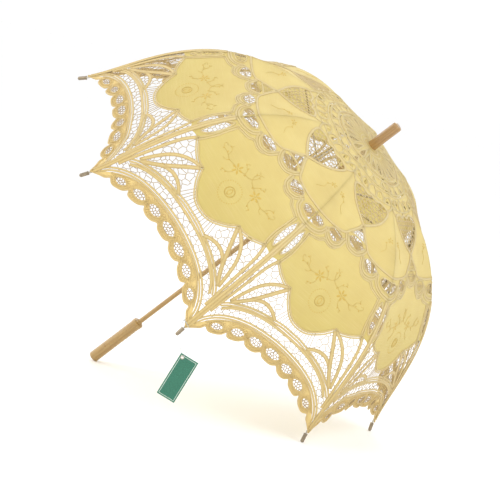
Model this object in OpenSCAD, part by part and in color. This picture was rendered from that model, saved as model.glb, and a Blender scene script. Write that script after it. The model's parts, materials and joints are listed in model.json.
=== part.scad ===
// Lace parasol with eight curved ribs, a wooden stick and a runner that folds it.
// Every piece is drawn upright: the shaft runs along Z, the canopy's crown is at z = 0
// and the handle hangs below.  place() then lays the open parasol down on three points:
// the edge of the handle's end and the tips of two neighbouring ribs.

/* [Canopy] */
// distance from the shaft's axis to a rib's end
open_radius = 380; // [370:5:400]
// how far the ribs' ends lie below the crown
dome_drop = 308; // [300:2:320]
// how far the rib's flat top reaches before it turns down
shoulder = 338; // [320:2:350]
// length of the straight run at the rib's end
tip_run = 91; // [80:1:100]
// flare of the rib's end away from the shaft's direction, degrees
tip_flare = 38; // [34:1:42]
// rise of the rim between two ribs
rim_rise = 34; // [26:1:44]
// length of the pointed ear of cloth at each rib
ear_length = 12; // [8:1:16]
// thickness of the cloth
cloth = 1; // [0.8:0.1:1.2]

/* [Stick] */
// crown to the handle's end
stick_length = 608; // [590:2:640]
// shaft diameter
shaft_d = 8; // [7.6:0.1:8.2]
// handle length, collar included
handle_length = 108; // [100:1:120]
// handle diameter
handle_d = 18.4; // [17.6:0.2:20]
// ferrule length
ferrule_length = 57; // [50:1:62]
// ferrule diameter
ferrule_d = 17; // [16:0.5:19]

/* [Ribs] */
// rib thickness across the shaft's plane
rib_w = 2.2; // [2:0.1:2.3]
// rib height
rib_h = 2.4; // [2:0.1:2.6]
// tip cap diameter
cap_d = 6; // [5.6:0.2:6.6]
// tip cap length
cap_length = 15; // [13:1:17]
// distance of the stretcher joint along the rib
joint_at = 216; // [200:2:226]
// turn of the ribs from open to folded, degrees
fold_angle = 44; // [38:1:45]

/* [Runner] */
// runner length
runner_length = 34; // [32:1:40]
// running clearance between runner and shaft
slide_gap = 0.08; // [0.04:0.01:0.1]

/* [Tag] */
// tag width
tag_w = 30; // [26:1:34]
// tag height
tag_h = 70; // [60:1:74]
// tag thickness
tag_t = 0.8; // [0.6:0.1:1]

/* [Hidden] */
$fn = 64;

wood = [0.80, 0.66, 0.44];
tan_wood = [0.70, 0.47, 0.27];
steel = [0.62, 0.62, 0.60];
cream = [0.93, 0.87, 0.66];

half = 22.5;                  // half the angle between two ribs
bored = 0.7;                  // radius of every pivot hole
wire = 0.6;                   // radius of every pivot wire and pin
eye = 2.2;                    // radius of the flattened pivot eyes
pivot_r = 9;                  // pivots of ribs and stretchers, from the shaft's axis
pivot_z = -5;                 // rib pivots below the crown
slot = 2.6;                   // width of the slots that hold the eyes
under = 2.6;                  // cloth's middle to the rib's middle
panel_start = 15;             // inner edge of the cloth panels
rib_start = 26;
shaft_r = shaft_d / 2;
cap_r = cap_d / 2;

// The rib's line: a Bezier curve from the crown to the tip, as [radius, height].
flare_in = tip_run * sin(tip_flare);
flare_up = tip_run * cos(tip_flare);
function curve(t) = [
    3 * (1 - t) * (1 - t) * t * shoulder
        + 3 * (1 - t) * t * t * (open_radius - flare_in) + t * t * t * open_radius,
    3 * (1 - t) * t * t * (flare_up - dome_drop) - t * t * t * dome_drop];
steps = 120;
function gap(t) = norm(curve(t + 1 / steps) - curve(t));
run = [for (i = 0, s = 0; i <= steps; s = s + gap(i / steps), i = i + 1) [s, i / steps]];
full = run[steps][0];
function at(s) = curve(lookup(s, run));
function along(s) = let (d = at(min(s + 1, full)) - at(min(s + 1, full) - 2)) d / norm(d);
function side(s) = let (d = along(s)) [-d[1], d[0]];
function off(s, h) = at(s) + h * side(s);

// Pivots, seen in the plane of one rib.
joint = off(joint_at, -under - 5.9);
reach = norm(joint - [pivot_r, pivot_z]);
lean = atan2(joint[0] - pivot_r, pivot_z - joint[1]);
runner_z = 2 * joint[1] - pivot_z;
runner_low_z = pivot_z - 2 * reach * cos(lean - fold_angle);
runner_bottom = runner_z + 4.5 - runner_length;
window_z = 17;                // middle of the runner's window below its pivots

// Resting pose.
cap_c = off(full, -under) - cap_r * along(full);
grip_r = handle_d / 2;
edge_r = 3;                   // rounding of the handle's end
tilt = atan2(cap_c[0] * cos(half) - (grip_r - edge_r), stick_length - edge_r + cap_c[1]);
rest_z = cap_c[0] * cos(half) * cos(tilt) - cap_c[1] * sin(tilt) + cap_r;
far_x = max([for (s = [0 : 4 : full])
    let (p = off(s, cloth / 2)) p[0] * cos(half) * sin(tilt) + p[1] * cos(tilt)]);
near_x = -cap_c[0] * cos(half) * sin(tilt) + cap_c[1] * cos(tilt) - cap_r;
rest_x = -(far_x + near_x) / 2;

module place() {
    translate([rest_x, 0, rest_z])
        rotate([0, 90 - tilt, 0])
            children();
}

module spoke(i) {
    place()
        rotate([0, 0, half + 45 * (i - 1)])
            children();
}

// A plate of thickness w in the plane of a rib, drawn as a flat shape of radius and height.
module plate(w) {
    rotate([90, 0, 0])
        linear_extrude(height = w, center = true)
            children();
}

// The ring of wire that carries eight pivots, and the groove it lies in.
module ring_wire(z) {
    rotate_extrude()
        translate([pivot_r, z])
            circle(r = wire, $fn = 24);
}

module ring_groove(z) {
    rotate_extrude()
        translate([pivot_r - bored, z - bored])
            square([10, 2 * bored]);
}

module slots(z, h) {
    for (i = [1 : 8])
        rotate([0, 0, half + 45 * (i - 1)])
            translate([5.8, -slot / 2, z])
                cube([10, slot, h]);
}

/* Stick */

grip_top = handle_length - 9;

module handle_grip() {
    grooves = 7;
    pitch = 8;
    color(wood)
        place()
            translate([0, 0, -stick_length])
                difference() {
                    rotate_extrude()
                        difference() {
                            union() {
                                translate([0, edge_r])
                                    square([grip_r, grip_top - edge_r]);
                                square([grip_r - edge_r, edge_r]);
                                translate([grip_r - edge_r, edge_r])
                                    circle(r = edge_r);
                            }
                            for (k = [0 : grooves - 1])
                                translate([grip_r + 2.6, 42 + pitch * k])
                                    circle(r = 3, $fn = 48);
                        }
                    translate([0, 0, 20])
                        cylinder(h = 200, r = shaft_r);
                    translate([0, -shaft_r, 34])
                        rotate([90, 0, 0])
                            cylinder(h = 10, r = 1.5, $fn = 32);
                }
}

module handle_peg() {
    color(tan_wood)
        place()
            translate([0, -shaft_r - 0.2, 34 - stick_length])
                rotate([90, 0, 0])
                    cylinder(h = grip_r - shaft_r - 0.4, r = 1.5, $fn = 32);
}

module handle_collar() {
    color(wood)
        place()
            translate([0, 0, grip_top - stick_length])
                rotate_extrude()
                    polygon([[shaft_r, 0], [grip_r + 0.5, 0], [grip_r + 0.5, 5.5],
                        [grip_r - 0.4, 6.4], [shaft_r + 2, 7], [shaft_r + 1.2, 9],
                        [shaft_r, 9]]);
}

catch_w = 2;                  // thickness of the catches
top_pivot = runner_bottom - 24;
low_pivot = runner_low_z - window_z + 19;
pin_x = -1.5;

module shaft() {
    color(wood)
        place()
            difference() {
                translate([0, 0, 20 - stick_length])
                    cylinder(h = stick_length + 10, r = shaft_r);
                translate([-9.5, -catch_w / 2 - 0.15, top_pivot - 3])
                    cube([10.5, catch_w + 0.3, 30]);
                translate([-9.5, -catch_w / 2 - 0.15, low_pivot - 27])
                    cube([10.5, catch_w + 0.3, 30]);
                for (z = [top_pivot, low_pivot])
                    translate([pin_x, 0, z])
                        rotate([90, 0, 0])
                            cylinder(h = 20, r = wire, center = true, $fn = 24);
            }
}

module catch_pins() {
    color(steel)
        place()
            for (z = [top_pivot, low_pivot])
                translate([pin_x, 0, z])
                    rotate([90, 0, 0])
                        cylinder(h = 6.8, r = wire, center = true, $fn = 24);
}

// A sprung lever with a nose: the pivot is at [0, 0], the nose ends at height 23.7.
module catch_shape() {
    difference() {
        union() {
            rotate([90, 0, 0])
                cylinder(h = catch_w, r = 1.6, center = true, $fn = 32);
            plate(catch_w)
                polygon([[-1.1, 0.9], [-2.2, 14], [-4.6, 21.5], [-4.6, 23.7],
                    [-1, 23.7], [1, 8], [1.1, 0.9]]);
        }
        rotate([90, 0, 0])
            cylinder(h = 10, r = bored, center = true, $fn = 24);
    }
}

module top_catch() {
    color(steel)
        place()
            translate([pin_x, 0, top_pivot])
                catch_shape();
}

module bottom_catch() {
    color(steel)
        place()
            translate([pin_x, 0, low_pivot])
                mirror([0, 0, 1])
                    catch_shape();
}

module ferrule() {
    r = ferrule_d / 2;
    color(tan_wood)
        place()
            difference() {
                translate([0, 0, 1.7])
                    rotate_extrude()
                        intersection() {
                            union() {
                                square([r, ferrule_length - 5.7]);
                                translate([0, ferrule_length - 5.7])
                                    square([r - 4, 4]);
                                translate([r - 4, ferrule_length - 5.7])
                                    circle(r = 4);
                            }
                            square([r, ferrule_length]);
                        }
                translate([0, 0, -1])
                    cylinder(h = 31, r = shaft_r);
            }
}

module crown_washer() {
    color(cream)
        place()
            translate([0, 0, cloth / 2])
                difference() {
                    cylinder(h = 1.2, r = 10.5);
                    translate([0, 0, -1])
                        cylinder(h = 4, r = shaft_r + 0.2);
                }
}

module crown_rosette() {
    color(cream)
        place()
            translate([0, 0, -cloth / 2])
                difference() {
                    cylinder(h = cloth, r = panel_start - 1);
                    translate([0, 0, -1])
                        cylinder(h = 4, r = shaft_r + 0.2);
                }
}

module top_notch() {
    color(wood)
        place()
            difference() {
                translate([0, 0, pivot_z - 4.5])
                    cylinder(h = 8.8, r = 12);
                translate([0, 0, -30])
                    cylinder(h = 60, r = shaft_r);
                slots(-30, 60);
                ring_groove(pivot_z);
            }
}

module notch_wire() {
    color(steel)
        place()
            ring_wire(pivot_z);
}

/* Runner */

module runner() {
    color(wood)
        place()
            difference() {
                union() {
                    translate([0, 0, runner_z - 4.5])
                        cylinder(h = 9, r = 12);
                    translate([0, 0, runner_bottom])
                        cylinder(h = runner_length - 5, r = shaft_r + 2.6);
                    translate([0, 0, runner_bottom])
                        cylinder(h = 3, r = shaft_r + 3.6);
                }
                translate([0, 0, runner_bottom - 10])
                    cylinder(h = 80, r = shaft_r + slide_gap);
                translate([0, 0, runner_z])
                    slots(-4.6, 20);
                ring_groove(runner_z);
                translate([-12, -1.6, runner_z - window_z - 6])
                    cube([10, 3.2, 12]);
            }
}

module runner_wire() {
    color(steel)
        place()
            ring_wire(runner_z);
}

/* Ribs */

module rib(i) {
    n = 44;
    last = full - 7;
    top = [for (k = [0 : n]) off(rib_start + (last - rib_start) * k / n, rib_h / 2 - under)];
    low = [for (k = [n : -1 : 0]) off(rib_start + (last - rib_start) * k / n, -rib_h / 2 - under)];
    color(steel)
        spoke(i)
            difference() {
                union() {
                    translate([pivot_r, 0, pivot_z])
                        rotate([90, 0, 0])
                            cylinder(h = rib_w, r = eye, center = true, $fn = 32);
                    plate(rib_w)
                        polygon(concat([[pivot_r + 1, pivot_z + 1.3]], top, low,
                            [[pivot_r + 1, pivot_z - 1.3]]));
                }
                translate([pivot_r, 0, pivot_z])
                    rotate([90, 0, 0])
                        cylinder(h = 10, r = bored, center = true, $fn = 24);
            }
}

module tip_cap(i) {
    back = off(full - 13, -under) - cap_c;
    a = atan2(-back[0], back[1]);
    color(steel)
        spoke(i)
            translate([cap_c[0], 0, cap_c[1]])
                rotate([0, -a, 0])
                    difference() {
                        union() {
                            cylinder(h = cap_length - cap_r - 1.2, r = cap_r, $fn = 40);
                            translate([0, 0, cap_length - cap_r - 1.2])
                                cylinder(h = 1.2, r = cap_r + 0.4, $fn = 40);
                            sphere(r = cap_r, $fn = 40);
                        }
                        translate([-1.8, -rib_w / 2 - 0.02, 3.6])
                            cube([3.6, rib_w + 0.04, 20]);
                    }
}

module rib_clip(i) {
    a = atan2(along(joint_at)[1], along(joint_at)[0]);
    color(steel)
        spoke(i)
            translate([joint[0], 0, joint[1]]) {
                for (y = [-1, 1])
                    translate([0, y * (rib_w / 2 + 0.4), 0])
                        rotate([0, -a, 0])
                            plate(0.8)
                                union() {
                                    circle(r = 2.4, $fn = 32);
                                    translate([-2.4, 0])
                                        square([4.8, 6.4]);
                                }
                rotate([90, 0, 0])
                    cylinder(h = rib_w + 2.4, r = wire, center = true, $fn = 24);
            }
}

module stretcher(i) {
    foot = [pivot_r, runner_z];
    run_a = atan2(joint[1] - foot[1], joint[0] - foot[0]);
    color(steel)
        spoke(i)
            plate(2)
                difference() {
                    union() {
                        for (p = [foot, joint])
                            translate(p)
                                circle(r = eye, $fn = 32);
                        translate(foot)
                            rotate(run_a)
                                translate([1, -1.2])
                                    square([reach - 2, 2.4]);
                    }
                    for (p = [foot, joint])
                        translate(p)
                            circle(r = bored, $fn = 24);
                }
}

/* Canopy */

// One panel reaches from its rib to the middle of the gore on either side.
// u runs from -1 to 1 across it, w from 0 at the crown to 1 at the rim.
// The rows of points lie closer together where the rib bends most.
function rim_at(u) = let (v = 1 - abs(u))
    full - cap_length - 0.8 - ear_length * (1 - pow(v, 14)) - rim_rise * (1 - v * v);
function cloth_point(u, w, h) =
    let (s = panel_start + (rim_at(u) - panel_start) * w,
         p = at(s),
         n = side(s),
         ue = u * (1 - 0.2 / (p[0] * sin(half) * cos(half))),
         tight = abs(u) < 0.01 ? 1 / cos(half * n[0]) : 1,
         sg = abs(u) < 0.01 ? 0 : sign(u))
    [p[0] * (1 - abs(ue) * sin(half) * sin(half)) + h * tight * n[0] * (sg == 0 ? 1 : cos(half)),
     p[0] * ue * sin(half) * cos(half) + h * n[0] * sin(half) * sg,
     p[1] + h * tight * n[1]];
columns = [-1, -0.72, -0.45, -0.24, -0.1, -0.03, 0, 0.03, 0.1, 0.24, 0.45, 0.72, 1];
levels = [0, 0.08, 0.16, 0.24, 0.31, 0.37, 0.42, 0.47, 0.52, 0.57, 0.62, 0.68, 0.74, 0.81,
    0.88, 0.93, 0.965, 1];
rows = len(levels) - 1;

module canopy_panel(i) {
    nc = len(columns);
    count = nc * (rows + 1);
    points = concat(
        [for (w = levels) for (u = columns) cloth_point(u, w, cloth / 2)],
        [for (w = levels) for (u = columns) cloth_point(u, w, -cloth / 2)]);
    faces = concat(
        [for (w = [0 : rows - 1]) for (c = [0 : nc - 2]) let (k = w * nc + c)
            each [[k, k + nc, k + 1], [k + 1, k + nc, k + nc + 1]]],
        [for (w = [0 : rows - 1]) for (c = [0 : nc - 2]) let (k = count + w * nc + c)
            each [[k, k + 1, k + nc], [k + 1, k + nc + 1, k + nc]]],
        [for (c = [0 : nc - 2]) let (k = c)
            each [[k, k + 1, k + count], [k + 1, k + count + 1, k + count]]],
        [for (c = [0 : nc - 2]) let (k = rows * nc + c)
            each [[k, k + count, k + 1], [k + 1, k + count, k + count + 1]]],
        [for (w = [0 : rows - 1]) let (k = w * nc)
            each [[k, k + count, k + nc], [k + nc, k + count, k + count + nc]]],
        [for (w = [0 : rows - 1]) let (k = w * nc + nc - 1)
            each [[k, k + nc, k + count], [k + nc, k + count + nc, k + count]]]);
    color(cream)
        spoke(i)
            polyhedron(points = points, faces = faces, convexity = 6);
}

/* Tag, drawn where it hangs in the resting pose */

tag_hole = [-10, 30];         // the hole from the tag's middle
tag_hang = [90.5, -341, 104];   // the hole's middle as the tag hangs
tag_turn = 24;                // the tag faces this far away from -Y
tag_swing = -18.4;            // lean of the tag about its hole
loop_r = 0.4;
loop_path = [[82, -345, 158.5], [88.5, -347, 154.5], [95.5, -347, 146], [99.5, -346.5, 134],
    [99.5, -346, 122], [95.5, -344.5, 110], [90.5, -341, 105], [85.5, -338, 110],
    [79.5, -336, 122], [76.5, -336, 134], [76.5, -337.5, 146], [77.5, -340.5, 155], [81, -344, 158.5]];

module tag_frame() {
    translate(tag_hang)
        rotate([0, 0, tag_turn])
            rotate([90, 0, 0])
                rotate([0, 0, tag_swing])
                    children();
}

module hang_tag() {
    color([0.16, 0.42, 0.33])
        tag_frame()
            translate([-tag_hole[0], -tag_hole[1], -tag_t / 2])
                linear_extrude(height = tag_t)
                    difference() {
                        square([tag_w, tag_h], center = true);
                        translate(tag_hole)
                            circle(r = 2.4, $fn = 32);
                    }
}

module tag_eyelet() {
    color(steel)
        tag_frame()
            rotate_extrude($fn = 32)
                translate([1.6, 0])
                    polygon([[0, -tag_t / 2 - 0.3], [1.4, -tag_t / 2 - 0.3], [1.4, -tag_t / 2],
                        [0.8, -tag_t / 2], [0.8, tag_t / 2], [1.4, tag_t / 2],
                        [1.4, tag_t / 2 + 0.3], [0, tag_t / 2 + 0.3]]);
}

// A tube of round section swept along a smooth line through hand-set points.
function clampi(i, n) = max(0, min(n - 1, i));
function spline(p, k, t) = let (n = len(p), a = p[clampi(k - 1, n)], b = p[k],
    c = p[clampi(k + 1, n)], d = p[clampi(k + 2, n)])
    0.5 * (2 * b + (c - a) * t + (2 * a - 5 * b + 4 * c - d) * t * t
        + (3 * b - a - 3 * c + d) * t * t * t);
loop_line = [for (k = [0 : len(loop_path) - 2]) for (t = [0 : 3]) spline(loop_path, k, t / 4),
    loop_path[len(loop_path) - 1]];

module tube(line, r, sides) {
    n = len(line);
    turned = [for (k = [0 : n - 1])
        let (d = line[min(k + 1, n - 1)] - line[max(k - 1, 0)],
             t = d / norm(d),
             a0 = cross(t, [0.4, -0.9, 0.1]),
             a = a0 / norm(a0),
             b = cross(t, a))
        for (j = [0 : sides - 1])
            line[k] + r * (a * cos(360 * j / sides) + b * sin(360 * j / sides))];
    polyhedron(
        points = turned,
        faces = concat(
            [[for (j = [0 : sides - 1]) j]],
            [for (k = [0 : n - 2]) for (j = [0 : sides - 1])
                let (a = k * sides + j, b = k * sides + (j + 1) % sides)
                each [[a, a + sides, b], [b, a + sides, b + sides]]],
            [[for (j = [sides - 1 : -1 : 0]) (n - 1) * sides + j]]),
        convexity = 8);
}

module tag_loop() {
    color([0.85, 0.87, 0.88])
        tube(loop_line, loop_r, 8);
}

module loop_lock() {
    color([0.85, 0.87, 0.88])
        translate([81.5, -344.5, 158.5])
            sphere(r = 1.5, $fn = 32);
}

handle_grip();
handle_collar();
handle_peg();
shaft();
ferrule();
crown_washer();
crown_rosette();
top_notch();
notch_wire();
catch_pins();
top_catch();
bottom_catch();
runner();
runner_wire();
rib(1);  // rib_1
rib(2);  // rib_2
rib(3);  // rib_3
rib(4);  // rib_4
rib(5);  // rib_5
rib(6);  // rib_6
rib(7);  // rib_7
rib(8);  // rib_8
tip_cap(1);  // tip_cap_1
tip_cap(2);  // tip_cap_2
tip_cap(3);  // tip_cap_3
tip_cap(4);  // tip_cap_4
tip_cap(5);  // tip_cap_5
tip_cap(6);  // tip_cap_6
tip_cap(7);  // tip_cap_7
tip_cap(8);  // tip_cap_8
rib_clip(1);  // rib_clip_1
rib_clip(2);  // rib_clip_2
rib_clip(3);  // rib_clip_3
rib_clip(4);  // rib_clip_4
rib_clip(5);  // rib_clip_5
rib_clip(6);  // rib_clip_6
rib_clip(7);  // rib_clip_7
rib_clip(8);  // rib_clip_8
stretcher(1);  // stretcher_1
stretcher(2);  // stretcher_2
stretcher(3);  // stretcher_3
stretcher(4);  // stretcher_4
stretcher(5);  // stretcher_5
stretcher(6);  // stretcher_6
stretcher(7);  // stretcher_7
stretcher(8);  // stretcher_8
canopy_panel(1);  // canopy_panel_1
canopy_panel(2);  // canopy_panel_2
canopy_panel(3);  // canopy_panel_3
canopy_panel(4);  // canopy_panel_4
canopy_panel(5);  // canopy_panel_5
canopy_panel(6);  // canopy_panel_6
canopy_panel(7);  // canopy_panel_7
canopy_panel(8);  // canopy_panel_8
hang_tag();
tag_eyelet();
tag_loop();
loop_lock();
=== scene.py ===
"""Looks of the lace parasol: its tape lace cover, wooden stick, steel wires and tag.

The lace is drawn once, flat, for half a gore: x is the distance from the gore's middle and
s the distance from the crown along a rib, both in millimetres.  That drawing is then laid on
the curved canopy sixteen times, twice for each rib's panel.
"""
import json
import math

import bpy
import numpy as np
from mathutils import Matrix, Vector
from mathutils.geometry import delaunay_2d_cdt


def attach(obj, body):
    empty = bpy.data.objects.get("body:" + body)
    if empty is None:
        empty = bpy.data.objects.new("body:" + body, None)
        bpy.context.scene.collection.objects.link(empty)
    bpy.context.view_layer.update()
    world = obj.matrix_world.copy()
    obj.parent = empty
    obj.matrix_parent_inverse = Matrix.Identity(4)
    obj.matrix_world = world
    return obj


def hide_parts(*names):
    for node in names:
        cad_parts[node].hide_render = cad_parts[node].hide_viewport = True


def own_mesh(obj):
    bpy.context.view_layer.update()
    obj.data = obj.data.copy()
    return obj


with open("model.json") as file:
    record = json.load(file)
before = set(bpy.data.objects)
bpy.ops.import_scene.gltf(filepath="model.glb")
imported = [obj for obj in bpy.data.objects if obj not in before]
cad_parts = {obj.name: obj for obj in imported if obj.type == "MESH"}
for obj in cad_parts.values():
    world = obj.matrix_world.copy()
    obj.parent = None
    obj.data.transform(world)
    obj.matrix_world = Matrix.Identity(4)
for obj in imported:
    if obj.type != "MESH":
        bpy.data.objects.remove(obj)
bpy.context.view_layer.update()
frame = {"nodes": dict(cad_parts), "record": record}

# ---------------------------------------------------------------- sizes, in millimetres
MM = 0.001
OPEN_RADIUS = 380.0          # shaft's axis to a rib's end
DOME_DROP = 308.0            # crown to the ribs' ends, along the shaft
SHOULDER = 338.0             # reach of the rib's flat top
TIP_RUN = 91.0               # straight run at the rib's end
TIP_FLARE = math.radians(38)
HALF = math.radians(22.5)    # half the angle between two ribs
RIBS = 8
CROWN_EDGE = 14.0            # inner edge of the lace, round the shaft
EAR_END = 519.0              # where the lace ends on a rib, along it
SAG = 3.5                    # how far the cloth sinks between the ribs
CROWN_TO_MOUNT = 28.0        # from the crown up to the ferrule's mount

# ---------------------------------------------------------------- camera
TARGET = Vector((0.0066, 0.0, 0.2514))
DISTANCE = 3.592
AZIMUTH, ELEVATION, ROLL = math.radians(23.81), math.radians(5.16), math.radians(13.34)
LENS = 158.4


def add_camera():
    back = Vector((math.sin(AZIMUTH) * math.cos(ELEVATION),
                   -math.cos(AZIMUTH) * math.cos(ELEVATION), math.sin(ELEVATION)))
    level = Vector((math.cos(AZIMUTH), math.sin(AZIMUTH), 0))
    rise = back.cross(level)
    right = level * math.cos(ROLL) + rise * math.sin(ROLL)
    up = back.cross(right)
    camera = bpy.data.objects.new("camera", bpy.data.cameras.new("camera"))
    camera.data.lens = LENS
    camera.data.sensor_width = 36.0
    camera.data.clip_end = 50.0
    place = Matrix((right, up, back)).transposed().to_4x4()
    place.translation = TARGET + back * DISTANCE
    camera.matrix_world = place
    bpy.context.collection.objects.link(camera)
    bpy.context.scene.camera = camera


add_camera()

# ---------------------------------------------------------------- where things are
ferrule_mount = next(m for m in frame["record"]["mounts"] if m["name"] == "ferrule_tip")
SHAFT = Vector(ferrule_mount["axis"]).normalized()
ACROSS = Vector((SHAFT.z, 0.0, -SHAFT.x))
CROWN = Vector(ferrule_mount["pos_m"]) - SHAFT * CROWN_TO_MOUNT * MM
AXES = np.array([ACROSS, (0, 1, 0), SHAFT])


def rib_line():
    """The rib's Bezier curve as tables of arc length, radius and height."""
    t = np.linspace(0, 1, 1201)
    inward = TIP_RUN * math.sin(TIP_FLARE)
    upward = TIP_RUN * math.cos(TIP_FLARE)
    b1, b2, b3 = 3 * (1 - t) ** 2 * t, 3 * (1 - t) * t ** 2, t ** 3
    r = b1 * SHOULDER + b2 * (OPEN_RADIUS - inward) + b3 * OPEN_RADIUS
    z = b2 * (upward - DOME_DROP) - b3 * DOME_DROP
    s = np.concatenate([[0], np.cumsum(np.hypot(np.diff(r), np.diff(z)))])
    return s, r, z


RIB_S, RIB_R, RIB_Z = rib_line()
RIB_DR, RIB_DZ = np.gradient(RIB_R, RIB_S), np.gradient(RIB_Z, RIB_S)


def rib_x(s, gap=0.0):
    """x of a point that lies gap inside the rib, at s along it."""
    return float(np.interp(s, RIB_S, RIB_R)) * math.sin(HALF) - gap


def rib_turn(i):
    """The angle of rib i, from 1, about the shaft."""
    return HALF + 2 * HALF * (i - 1)


def on_canopy(points, side, i):
    """World positions of drawn points (x, s, height) on one side of rib i's panel."""
    x, s, h = points.T
    r, z = np.interp(s, RIB_S, RIB_R), np.interp(s, RIB_S, RIB_Z)
    dr = np.interp(s, RIB_S, RIB_DR) * math.cos(HALF)
    dz = np.interp(s, RIB_S, RIB_DZ)
    half_width = r * math.sin(HALF)
    free = np.clip(1 - (x / half_width) ** 2, 0, 1)
    gore = i if side > 0 else (i - 2) % RIBS + 1
    # the gore's own coordinate runs right across it, so that both halves of it meet
    across = -x * side
    sink = -SAG * free * np.sin(np.pi * np.clip(s / 500, 0, 1)) ** 2
    ripple = np.sin(across / 19 + 2.1 * gore + s / 57) * np.sin(s / 23 + 1.3 * gore)
    edge = np.clip((s - 400) / 90, 0, 1) ** 2
    flutter = 2.2 * edge * np.sin(across / 8.5 + 1.7 * gore) * free ** 0.5
    h = h + sink + (0.45 + 0.5 * edge) * free * ripple + flutter
    length = np.hypot(dr, dz)
    nr, nz = -dz / length, dr / length
    a = half_width - x
    lx = r - a * math.sin(HALF) + h * nr * math.cos(HALF)
    ly = side * (a * math.cos(HALF) + h * nr * math.sin(HALF))
    lz = z + h * nz
    turn = rib_turn(i)
    design = np.stack([lx * math.cos(turn) - ly * math.sin(turn),
                       lx * math.sin(turn) + ly * math.cos(turn), lz], axis=1)
    return np.array(CROWN) + (design * MM) @ AXES


# ---------------------------------------------------------------- flat drawing tools
def smooth(points, step=3.0, corner=False):
    """An even run of points on a smooth curve through given ones.  A curve that starts
    at the gore's middle goes straight across it, unless it has a corner there."""
    p = [np.array(q, float) for q in points]
    reflect = abs(p[0][0]) < 1e-6 and not corner
    first = p[1] * [-1, 1] if reflect else 2 * p[0] - p[1]
    p = [first] + p + [2 * p[-1] - p[-2]]
    dense = []
    for a, b, c, d in zip(p, p[1:], p[2:], p[3:]):
        for t in np.linspace(0, 1, 12, endpoint=False):
            dense.append(0.5 * (2 * b + (c - a) * t + (2 * a - 5 * b + 4 * c - d) * t ** 2
                                + (3 * b - a - 3 * c + d) * t ** 3))
    dense = np.array(dense + [p[-2]])
    run = np.concatenate([[0], np.cumsum(np.hypot(*np.diff(dense, axis=0).T))])
    at = np.linspace(0, run[-1], max(3, int(run[-1] / step) + 1))
    return np.stack([np.interp(at, run, dense[:, 0]), np.interp(at, run, dense[:, 1])], axis=1)


def normals(path):
    """The unit vectors to the left of a path."""
    d = np.gradient(path, axis=0)
    d /= np.maximum(np.hypot(*d.T), 1e-9)[:, None]
    n = np.stack([-d[:, 1], d[:, 0]], axis=1)
    for k in (0, -1):  # a path cut at the gore's middle ends square to it
        if abs(path[k, 0]) < 1e-6:
            n[k] = (0, 1 / np.clip(n[k, 1], 0.45, 1) if n[k, 1] > 0
                    else 1 / np.clip(n[k, 1], -1, -0.45))
    return n


def beside(path, d):
    return path + d * normals(path)


def band(path, width):
    """The outline of a strip along a path."""
    return np.concatenate([beside(path, width / 2), beside(path, -width / 2)[::-1]])


def inside(points, outline):
    """Which points lie inside a closed outline."""
    x, y = points[:, 0:1], points[:, 1:2]
    a, b = outline, np.roll(outline, -1, axis=0)
    crosses = (a[:, 1] > y) != (b[:, 1] > y)
    rise = np.where(np.abs(b[:, 1] - a[:, 1]) < 1e-12, 1e-12, b[:, 1] - a[:, 1])
    return (crosses & (x < (b[:, 0] - a[:, 0]) * (y - a[:, 1]) / rise + a[:, 0])).sum(1) % 2 == 1


def away(points, outline):
    """The distance of each point from an outline."""
    a, d = outline, np.roll(outline, -1, axis=0) - outline
    w = points[:, None, :] - a[None]
    t = np.clip((w * d).sum(2) / np.maximum((d * d).sum(1), 1e-9), 0, 1)
    return np.hypot(*np.moveaxis(w - t[..., None] * d, 2, 0)).min(1)


def mirrored(outline):
    """A half outline, from the gore's middle out and back to it, as a whole one."""
    p = np.array(outline, float)
    return np.concatenate([p, (p * [-1, 1])[::-1]])


def dense(outline, step=3.0):
    """An outline with points at most step apart."""
    p = np.array(outline, float)
    out = []
    for a, b in zip(p, np.roll(p, -1, axis=0)):
        n = max(1, int(np.hypot(*(b - a)) / step))
        out += [a + (b - a) * k / n for k in range(n)]
    return np.array(out)


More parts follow.
